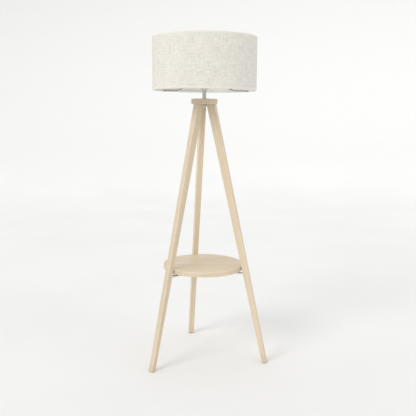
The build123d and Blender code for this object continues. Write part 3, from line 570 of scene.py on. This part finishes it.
def turned(name, outline_at, columns):
    """A piece turned about the lamp's axis from a closed outline, which may change as it goes."""
    rings = []
    for i in range(columns):
        azimuth = tau * i / columns
        rings.append([round_point(r, azimuth, z) for r, z in outline_at(azimuth)])
    return skin(name, rings)


def smooth(value):
    """A smooth step from 0 to 1."""
    value = min(max(value, 0.0), 1.0)
    return value * value * (3 - 2 * value)


# the shade: one sheet of laminated linen, lapped at the back, its edges rolled over the wires.
# The lower roll ends early at each arm, in a notch with rounded corners.
CLOTH = 0.8 * MM
WIRE_GAP = 0.05 * MM
LAP = 15 * MM
LAP_RISE = 12 * MM
LAP_GAP = 0.1 * MM
ROLL_END = radians(285)
NOTCH_END = radians(100)
NOTCH_HALF = 4.6 * MM
NOTCH_CORNER = 1.2 * MM
NOTCH_STEP = 0.2 * MM
NOTCH_STEPS = 32
WALL_ROWS = 36
ROLL_STEPS = 20
SHADE_COLUMNS = 432
# two low waves round the wall: their height, lobes, slant up the wall and start
WAVES = ((0.07 * MM, 3, 21, 0.0), (0.06 * MM, 7, -34, 1.3))


def roll_line(outer_r, rim_z, wire_box, roll_end, up):
    """The cloth's middle from the wall over the rim to its edge, round a wire with this box."""
    low, high = wire_box
    wire_r = (high.z - low.z) / 2
    ring_r = high.x - wire_r
    level = (high.z + low.z) / 2
    wrap_r = wire_r + CLOTH / 2 + WIRE_GAP
    middle_r = (outer_r + ring_r - wrap_r) / 2
    rise = abs(rim_z - level)
    line = []
    for i in range(ROLL_STEPS + 1):
        turn = roll_end * i / ROLL_STEPS
        if turn < pi:
            r = middle_r + (outer_r - middle_r) * cos(turn)
            z = level + up * rise * sin(turn)
        else:
            r = ring_r + wrap_r * cos(turn)
            z = level + up * wrap_r * sin(turn)
        line.append((r, z))
    return line


def cloth_line(azimuth, lower_end):
    """The middle of the cloth in section, from its lower tucked edge to its upper one."""
    low, high = box("shade_fabric")
    outer_r = high.x - CLOTH / 2
    lower = roll_line(outer_r, low.z + CLOTH / 2, box("shade_bottom_ring"), lower_end, -1)
    upper = roll_line(outer_r, high.z - CLOTH / 2, box("shade_top_ring"), ROLL_END, 1)
    wall_low, wall_high = lower[0][1], upper[0][1]
    wall = []
    for i in range(1, WALL_ROWS):
        z = wall_low + (wall_high - wall_low) * i / WALL_ROWS
        wave = sum(size * sin(lobes * azimuth + slant * z + start)
                   for size, lobes, slant, start in WAVES)
        wall.append((outer_r + wave * sin(pi * i / WALL_ROWS), z))
    return list(reversed(lower)) + wall + upper


def thickened(line, lift):
    """Both faces of the cloth: the line moved out by a lift, with half the cloth on each side."""
    outer, inner = [], []
    for i, (r, z) in enumerate(line):
        before = line[max(i - 1, 0)]
        after = line[min(i + 1, len(line) - 1)]
        run = Vector((after[0] - before[0], after[1] - before[1])).normalized()
        out = Vector((run.y, -run.x))
        here = Vector((r, z))
        outer.append(here + out * (lift + CLOTH / 2))
        inner.append(here + out * (lift - CLOTH / 2))
    return outer + list(reversed(inner))


def sheet_sections(total, radius, notches):
    """Angles from the seam for the sheet's sections: even steps, and fine ones at the notches."""
    reach = (NOTCH_STEPS + 1) * NOTCH_STEP / radius
    even = [total * i / SHADE_COLUMNS for i in range(SHADE_COLUMNS + 1)]
    sections = [turn for turn in even if all(abs(turn - notch) > reach for notch in notches)]
    for notch in notches:
        for i in range(-NOTCH_STEPS, NOTCH_STEPS + 1):
            sections.append(notch + i * NOTCH_STEP / radius)
    return sorted(sections)


def linen_shade():
    """The sheet of linen, section by section from the seam round to its lap."""
    radius = box("shade_fabric")[1].x
    notches = [(azimuth_of(arm) - SEAM_AZIMUTH) % tau for arm in ARMS]
    lap_start = tau - LAP_RISE / radius
    rings = []
    for travelled in sheet_sections(tau + LAP / radius, radius, notches):
        azimuth = SEAM_AZIMUTH + travelled
        nearest = min(abs(travelled - notch) for notch in notches) * radius
        uncut = smooth((nearest - NOTCH_HALF) / NOTCH_CORNER)
        lower_end = NOTCH_END + (ROLL_END - NOTCH_END) * uncut
        rise = smooth((travelled - lap_start) * radius / LAP_RISE)
        outline = thickened(cloth_line(azimuth, lower_end), rise * (CLOTH + LAP_GAP))
        rings.append([round_point(r, azimuth, z) for r, z in outline])
    return skin("linen_shade", rings, closed=False)


# the lamp holder's body in section, and the thread for the shade's ring
MOUTH_R = 14.2 * MM
BORE_R = 15.4 * MM
SOCKET_R = 17.1 * MM
SPIGOT_R = 17.9 * MM
BODY_TOP_R = 18.8 * MM
BODY_ROUND = 0.8 * MM
BODY_LIP = 1.5 * MM
BEVEL = 0.4 * MM
COLLAR_HEIGHT = 3 * MM
SHOULDER_RISE = 3 * MM
FITTER_SHEET = 1.5 * MM
FITTER_GAP = 0.3 * MM
BODY_ROOT_R = 19.3 * MM
BODY_CREST_R = 20 * MM
BODY_PITCH = 2 * MM
BODY_THREAD_START = 0.2 * MM
BODY_THREAD_END = 18 * MM
BODY_THREAD_ROOM = 0.6 * MM
BODY_ROWS = 108
BODY_COLUMNS = 144

# the M10 x 1 tube
TUBE_BORE_R = 3.75 * MM
TUBE_END_R = 4.5 * MM
TUBE_ROOT_R = 4.4 * MM
TUBE_CREST_R = 5 * MM
TUBE_PITCH = 1 * MM
TUBE_END = 0.1 * MM
TUBE_ROWS = 390
TUBE_COLUMNS = 36


def helix(root_r, crest_r, start_z, end_z, pitch, azimuth, rows):
    """A helical thread's section at an azimuth, run out over a turn at each end."""
    line = []
    for i in range(rows + 1):
        z = start_z + (end_z - start_z) * i / rows
        phase = (z - start_z) / pitch - azimuth / tau
        ridge = abs(2 * (phase % 1.0) - 1)
        run_out = smooth((z - start_z) / pitch) * smooth((end_z - z) / pitch)
        line.append((root_r + (crest_r - root_r) * ridge * run_out, z))
    return line


def holder_body():
    """The lamp holder's body, with the helical thread that the shade's ring runs on."""
    low, high = box("holder_body")
    seat_z = box("fitter_ring")[1].z - FITTER_SHEET - FITTER_GAP
    collar_z = seat_z - COLLAR_HEIGHT
    shoulder_z = seat_z + SHOULDER_RISE
    start_z = seat_z + BODY_THREAD_START
    end_z = seat_z + BODY_THREAD_END
    bore_and_collar = [
        (MOUTH_R, high.z - BEVEL),
        (MOUTH_R, high.z - BODY_LIP),
        (BORE_R, high.z - BODY_LIP),
        (BORE_R, shoulder_z),
        (SOCKET_R, shoulder_z),
        (SOCKET_R, low.z),
        (SPIGOT_R, low.z),
        (SPIGOT_R, collar_z),
        (high.x - BEVEL, collar_z),
        (high.x, collar_z + BEVEL),
        (high.x, seat_z - BEVEL),
        (high.x - BEVEL, seat_z),
        (BODY_ROOT_R, seat_z),
    ]
    top = [
        (BODY_TOP_R, end_z + BODY_THREAD_ROOM),
        (BODY_TOP_R, high.z - BODY_ROUND),
        (BODY_TOP_R - BODY_ROUND / 4, high.z - BODY_ROUND / 4),
        (BODY_TOP_R - BODY_ROUND, high.z),
        (MOUTH_R + BEVEL, high.z),
    ]

    def outline(azimuth):
        thread = helix(BODY_ROOT_R, BODY_CREST_R, start_z, end_z, BODY_PITCH, azimuth, BODY_ROWS)
        return bore_and_collar + thread + top

    return turned("threaded_holder_body", outline, BODY_COLUMNS)


def threaded_tube():
    """The M10 x 1 tube, threaded from end to end."""
    low, high = box("threaded_tube")
    start_z, end_z = low.z + TUBE_END, high.z - TUBE_END
    bore = [(TUBE_BORE_R, high.z), (TUBE_BORE_R, low.z), (TUBE_END_R, low.z)]
    top = [(TUBE_END_R, high.z)]

    def outline(azimuth):
        thread = helix(TUBE_ROOT_R, TUBE_CREST_R, start_z, end_z, TUBE_PITCH, azimuth, TUBE_ROWS)
        return bore + thread + top

    return turned("threaded_tube_m10", outline, TUBE_COLUMNS)


# the Edison thread: the bulb's rolled cap, with a plain skirt above its thread, and the sleeve
# that it screws into, with a plain rim
E27_PITCH = 3.63 * MM
E27_TURNS = 4
E27_DEPTH = 1 * MM
CAP_ROOT_R = 12 * MM
CAP_SKIRT = 2 * MM
SLEEVE_ROOT_R = 12.9 * MM
SLEEVE_RIM = 0.5 * MM
ROLLED_SHEET = 0.5 * MM
ROLLED_STEPS = 12
ROLLED_COLUMNS = 96


def rolled_thread(root_r, start_z, skirt_z, high_z):
    """The outer and inner faces of sheet metal with a round Edison thread, both upwards."""
    outer = []
    for i in range(E27_TURNS * ROLLED_STEPS + 1):
        wave = (1 - cos(tau * i / ROLLED_STEPS)) / 2
        outer.append((root_r + E27_DEPTH * wave, start_z + E27_PITCH * i / ROLLED_STEPS))
    outer += [(root_r + E27_DEPTH, skirt_z), (root_r + E27_DEPTH, high_z)]
    return outer, [(r - ROLLED_SHEET, z) for r, z in outer]


def bulb_cap():
    """The bulb's cap of thin sheet, its lower edge rolled in to the insulator."""
    low, high = box("bulb_screw_cap")
    insulator_r = box("bulb_insulator")[1].x
    lip_z = low.z + ROLLED_SHEET
    skirt_z = low.z + E27_TURNS * E27_PITCH + CAP_SKIRT
    outer, inner = rolled_thread(CAP_ROOT_R, low.z, skirt_z, high.z)
    above_lip = [(r, z) for r, z in reversed(inner) if z > lip_z]
    outline = [(insulator_r, lip_z), (insulator_r, low.z)] + outer + above_lip
    return turned("rolled_bulb_cap", lambda azimuth: outline, ROLLED_COLUMNS)


def edison_sleeve():
    """The brass sleeve that takes the bulb's cap, with a flange at its foot."""
    low, high = box("screw_shell")
    thread_z = box("bulb_screw_cap")[0].z
    flange_z = low.z + ROLLED_SHEET
    outer, inner = rolled_thread(SLEEVE_ROOT_R, thread_z, high.z - SLEEVE_RIM, high.z)
    foot = [(SLEEVE_ROOT_R - ROLLED_SHEET, low.z), (high.x, low.z), (high.x, flange_z)]
    foot += [(SLEEVE_ROOT_R, flange_z)]
    outline = foot + outer + list(reversed(inner))
    return turned("rolled_screw_shell", lambda azimuth: outline, ROLLED_COLUMNS)


# a weld bead: its half sizes, its lumps, which differ from bead to bead, and its fine ripples
WELD_OUT = 1.5 * MM
WELD_SIDE = 2.5 * MM
WELD_UP = 1.95 * MM
WELD_LUMP = 0.13
LUMP_SCALE = 2.1
LUMP_SHIFT = 400
WELD_RIPPLE = 0.04
RIPPLE_SCALE = 9


def weld_beads():
    """A lumpy weld at each end of the three arms, on the bottom ring and on the fitter."""
    ring_low, ring_high = box("shade_bottom_ring")
    wire_r = (ring_high.z - ring_low.z) / 2
    shape = bmesh.new()
    for arm in ARMS:
        azimuth = azimuth_of(arm)
        outwards = round_point(1, azimuth, 0)
        sideways = UP.cross(outwards)
        ring_end = (ring_high.x - 2 * wire_r, ring_low.z + wire_r)
        fitter_end = (box("fitter_ring")[1].x, box(arm)[1].z - wire_r)
        for r, z in (ring_end, fitter_end):
            centre = round_point(r, azimuth, z)
            bead = bmesh.ops.create_icosphere(shape, subdivisions=4, radius=1.0)
            for vertex in bead["verts"]:
                way = vertex.co.normalized()
                lump = WELD_LUMP * noise_at(way * LUMP_SCALE + centre * LUMP_SHIFT)
                ripple = WELD_RIPPLE * noise_at(way * RIPPLE_SCALE)
                spread = outwards * way.x * WELD_OUT + sideways * way.y * WELD_SIDE
                spread += UP * way.z * WELD_UP
                vertex.co = centre + spread * (1 + lump + ripple)
    mesh = bpy.data.meshes.new("weld_beads")
    shape.to_mesh(mesh)
    shape.free()
    mesh.shade_smooth()
    beads = bpy.data.objects.new("weld_beads", mesh)
    bpy.context.scene.collection.objects.link(beads)
    return beads


# a felt pad: half its length outwards and sideways, and how its sides are squashed and fuzzy
PAD_HALF_OUT = 6 * MM
PAD_HALF_SIDE = 7.5 * MM
PAD_CORNER = 2.5 * MM
PAD_CORNER_STEPS = 8
PAD_STEP = 0.5 * MM
PAD_HEIGHT = 2 * MM
PAD_LEVELS = (0.0, 0.06, 0.2, 0.4, 0.6, 0.8, 0.94, 1.0)
PAD_RIM = 0.02
PAD_SQUASH = 0.35 * MM
PAD_FUZZ = 0.16 * MM
PAD_SEED = 7


def pad_outline():
    """A rounded rectangle's points, at most a step apart."""
    outline = []
    for quarter, (side_x, side_y) in enumerate([(1, 1), (-1, 1), (-1, -1), (1, -1)]):
        for i in range(PAD_CORNER_STEPS + 1):
            turn = radians(90 * quarter + 90 * i / PAD_CORNER_STEPS)
            x = side_x * (PAD_HALF_OUT - PAD_CORNER) + PAD_CORNER * cos(turn)
            y = side_y * (PAD_HALF_SIDE - PAD_CORNER) + PAD_CORNER * sin(turn)
            outline.append((x, y))
    fine = []
    for (x, y), (next_x, next_y) in zip(outline, outline[1:] + outline[:1]):
        run_x, run_y = next_x - x, next_y - y
        parts = max(1, ceil((run_x ** 2 + run_y ** 2) ** 0.5 / PAD_STEP))
        fine += [(x + run_x * k / parts, y + run_y * k / parts) for k in range(parts)]
    return fine


def felt_pads():
    """Three die-cut felt pads, a little squashed, with fuzzy sides."""
    random = Random(PAD_SEED)
    outline = pad_outline()
    count = len(outline)
    points, faces = [], []
    for name in LEGS:
        foot = Board(name).foot
        centre = Vector((foot.x, foot.y, 0))
        outwards = centre.normalized()
        sideways = UP.cross(outwards)
        base = len(points)
        for share in PAD_LEVELS:
            inside = min(max(share, PAD_RIM), 1 - PAD_RIM)
            inset = PAD_SQUASH * (1 - sin(pi * inside) ** 0.5)
            for x, y in outline:
                fuzz = random.uniform(0, PAD_FUZZ) if 0 < share < 1 else 0.0
                scale = 1 - (inset + fuzz) / PAD_HALF_OUT
                level = UP * PAD_HEIGHT * share
                points.append(centre + outwards * x * scale + sideways * y * scale + level)
        last = base + (len(PAD_LEVELS) - 1) * count
        for start in range(base, last, count):
            faces += band(start, count, count)
        faces.append(tuple(base + i for i in reversed(range(count))))
        faces.append(tuple(last + i for i in range(count)))
    return solid("felt_pads", points, faces, sharp=50)


# ---------------------------------------------------------------- dressing the frame
grey_wire = coated("grey_powder_coat", srgb(148, 148, 149), srgb(120, 119, 117))
white_plastic = coated("white_plastic", srgb(240, 239, 234), srgb(222, 220, 212), peel=0.02 * MM)
linen_material = linen()
bulb_metal = metal("nickel_brass", srgb(214, 210, 200), srgb(178, 172, 160), (300.0, 300.0, 2400.0))
brass = metal("brass", srgb(214, 178, 104), srgb(168, 130, 66), (900.0, 900.0, 900.0))
zinc_steel = metal("zinc", srgb(196, 198, 200), srgb(150, 153, 157), (700.0, 700.0, 700.0))
felt_material = felt()

SLOT_MATERIALS = {
    "disc_wood": disc_wood("ash_disc", "hub_disc", HUB_GRAIN, HUB_STAVE, seed=1.31),
    "shelf_wood": disc_wood("ash_shelf", "shelf", SHELF_GRAIN, SHELF_STAVE, seed=0.37),
    "dowel_wood": dowel_wood(),
    "zinc_steel": zinc_steel,
    "satin_steel": metal(
        "satin_steel", srgb(206, 205, 202), srgb(170, 169, 166), (60.0, 60.0, 4200.0),
        rough=(0.26, 0.36), relief=0.008 * MM, tarnish=0.25,
    ),
    "bracket_steel": coated("bracket_coat", srgb(232, 231, 227), srgb(200, 197, 190)),
    "brass": brass,
    "felt": felt_material,
    "rubber": rubber(),
    "white_plastic": white_plastic,
    "ceramic": ceramic(),
    "bulb_metal": bulb_metal,
    "bulb_insulator": coated("black_glass", srgb(26, 24, 26), srgb(44, 40, 42), rough=(0.1, 0.2)),
    "bulb_housing": coated(
        "bulb_housing", srgb(244, 244, 241), srgb(226, 226, 221), peel=0.02 * MM,
    ),
    "opal_plastic": opal(),
    "led_board": led_board(),
    "shade_linen": linen_material,
    "shade_liner": lining(),
    "grey_wire": grey_wire,
}
LEG_SEEDS = dict(zip(LEGS, (0.0, 2.7, 5.9)))

for node_name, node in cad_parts.items():
    for index, old in enumerate(node.data.materials):
        if node_name in LEG_SEEDS:
            node.data.materials[index] = leg_wood(node_name, LEG_SEEDS[node_name])
        else:
            node.data.materials[index] = SLOT_MATERIALS[old.name.split(".")[0]]


def stand_for(piece, body, slot, material, *cad_nodes):
    """Gives a piece its material and its body, and hides the nodes that it stands for. Its slot is
    not used.
    """
    piece.data.materials.append(material)
    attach(piece, body)
    if cad_nodes:
        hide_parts(*cad_nodes)
    return piece


shade = stand_for(linen_shade(), "shade", "shade_linen", linen_material, "shade_fabric")
pads = stand_for(felt_pads(), "stand", "felt", felt_material, "foot_pads")
stand_for(holder_body(), "stand", "white_plastic", white_plastic, "holder_body")
stand_for(threaded_tube(), "stand", "zinc_steel", zinc_steel, "threaded_tube")
stand_for(bulb_cap(), "bulb", "bulb_metal", bulb_metal, "bulb_screw_cap")
stand_for(edison_sleeve(), "stand", "brass", brass, "screw_shell")
stand_for(weld_beads(), "shade", "grey_wire", grey_wire)


# ---------------------------------------------------------------- studio
# a round bowl: flat out to the last floor radius, then curved up into a wall, which is a little
# darker than the floor from WALL_FADE upwards
FLOOR_RADII = (0.02, 1.0, 2.5, 4.0)
WALL_R = 6.5
WALL_TOP = 3.3
WALL_FADE = 0.5
BOWL_STEPS = 12
BOWL_COLUMNS = 96
FLOOR_WHITE = srgb(240, 240, 239)
FLOOR_CLOUD = srgb(237, 237, 236)
WALL_WHITE = srgb(233, 233, 232)
AIR_COLOUR = srgb(246, 246, 246)
AIR_STRENGTH = 0.93
LAMP_MIDDLE = Vector((0, 0, 0.6))


def studio_bowl():
    """A pale floor that curves up into a wall all round, so that no horizon shows."""
    outline = [(r, 0.0) for r in FLOOR_RADII]
    curve_r = WALL_R - FLOOR_RADII[-1]
    for i in range(1, BOWL_STEPS + 1):
        turn = pi / 2 * i / BOWL_STEPS
        outline.append((FLOOR_RADII[-1] + curve_r * sin(turn), curve_r * (1 - cos(turn))))
    outline.append((WALL_R, WALL_TOP))
    points = [Vector()]
    for r, z in outline:
        points += [round_point(r, tau * i / BOWL_COLUMNS, z) for i in range(BOWL_COLUMNS)]
    faces = [(0, 1 + i, 1 + (i + 1) % BOWL_COLUMNS) for i in range(BOWL_COLUMNS)]
    for k in range(len(outline) - 1):
        faces += band(1 + k * BOWL_COLUMNS, BOWL_COLUMNS, BOWL_COLUMNS)
    bowl = solid("studio_bowl", points, faces, sharp=60)
    paint = Paint("studio_paint", Specular_IOR_Level=0.1)
    soft = paint.noise(paint.coordinates(), (1.3, 1.3, 1.3), detail=2.0)
    height = paint.split(paint.coordinates())[2]
    colour = paint.mix(paint.ramp(soft, 0.3, 0.7), FLOOR_WHITE, FLOOR_CLOUD)
    colour = paint.mix(paint.ramp(height, 0.0, WALL_FADE), colour, WALL_WHITE)
    bowl.data.materials.append(paint.finish(colour, 0.9))
    bowl.visible_shadow = False


def sun_light(name, place, strength, angle):
    """A soft sun that shines from this place towards the middle of the lamp."""
    light = bpy.data.lights.new(name, "SUN")
    light.energy = strength
    light.angle = angle
    lamp = bpy.data.objects.new(name, light)
    lamp.location = place
    towards = LAMP_MIDDLE - Vector(place)
    lamp.rotation_euler = towards.to_track_quat("-Z", "Y").to_euler()
    bpy.context.scene.collection.objects.link(lamp)


studio_bowl()
sun_light("key", (-3.3, -3.7, 3.9), 1.08, radians(25))
sun_light("fill", (4.2, -3.0, 2.2), 0.24, radians(28))

world = bpy.data.worlds.new("studio_air")
world.use_nodes = True
background = world.node_tree.nodes["Background"]
background.inputs["Color"].default_value = AIR_COLOUR
background.inputs["Strength"].default_value = AIR_STRENGTH
bpy.context.scene.world = world
bpy.context.scene.view_settings.view_transform = "Standard"

# the camera stands 2 m in front, a little below the shade, looks slightly down and leans a bit
CAMERA_PLACE = (0.015, -2.0357, 0.8328)
CAMERA_DROP = radians(8.64)
CAMERA_LEAN = radians(0.46)
CAMERA_LENS = 52.28
CAMERA_SENSOR = 36.0
camera_data = bpy.data.cameras.new("camera")
camera_data.lens = CAMERA_LENS
camera_data.sensor_width = CAMERA_SENSOR
camera = bpy.data.objects.new("camera", camera_data)
camera.location = CAMERA_PLACE
tilt = Matrix.Rotation(pi / 2 - CAMERA_DROP, 3, "X")
lean = Matrix.Rotation(CAMERA_LEAN, 3, "Z")
camera.rotation_euler = (tilt @ lean).to_euler()
bpy.context.scene.collection.objects.link(camera)
bpy.context.scene.camera = camera
